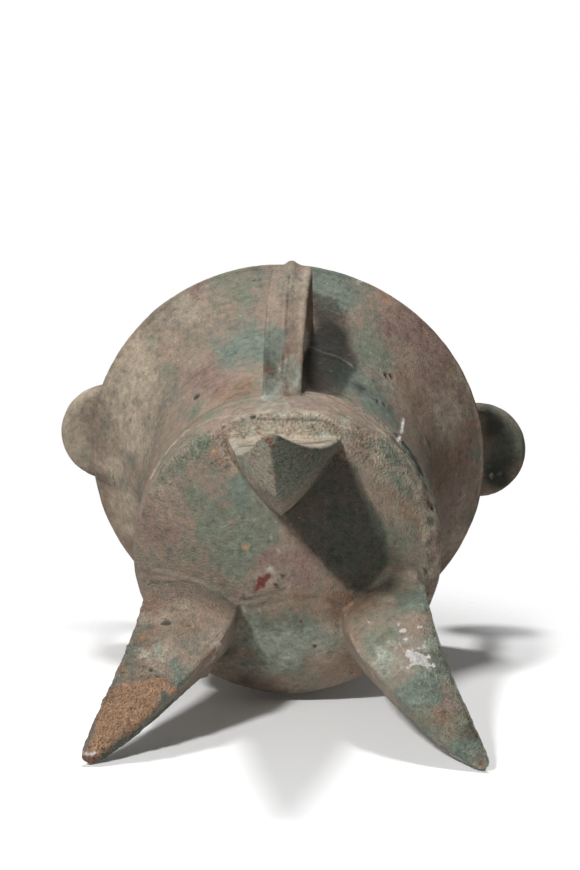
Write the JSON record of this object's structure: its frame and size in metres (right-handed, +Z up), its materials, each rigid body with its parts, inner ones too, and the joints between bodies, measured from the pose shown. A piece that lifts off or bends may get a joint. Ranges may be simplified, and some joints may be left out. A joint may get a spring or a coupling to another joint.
{
  "type": "bronze jia",
  "caption": "Ancient cast wine vessel with a flared round mouth, splayed pointed legs, a ridged strap handle and capped posts on the lip.",
  "frame": {"origin": "middle of the bounding box at the level that the feet stand on", "axes": "+Z up through the mouth, handle towards -Y, posts towards -X and +X"},
  "size_m": [0.208, 0.184, 0.25],
  "materials": {
    "weathered_bronze": "matt brown and grey-green patina with sandy crust"
  },
  "bodies": {
    "root": {"jia_vessel": "weathered_bronze"}
  },
  "joints": []
}
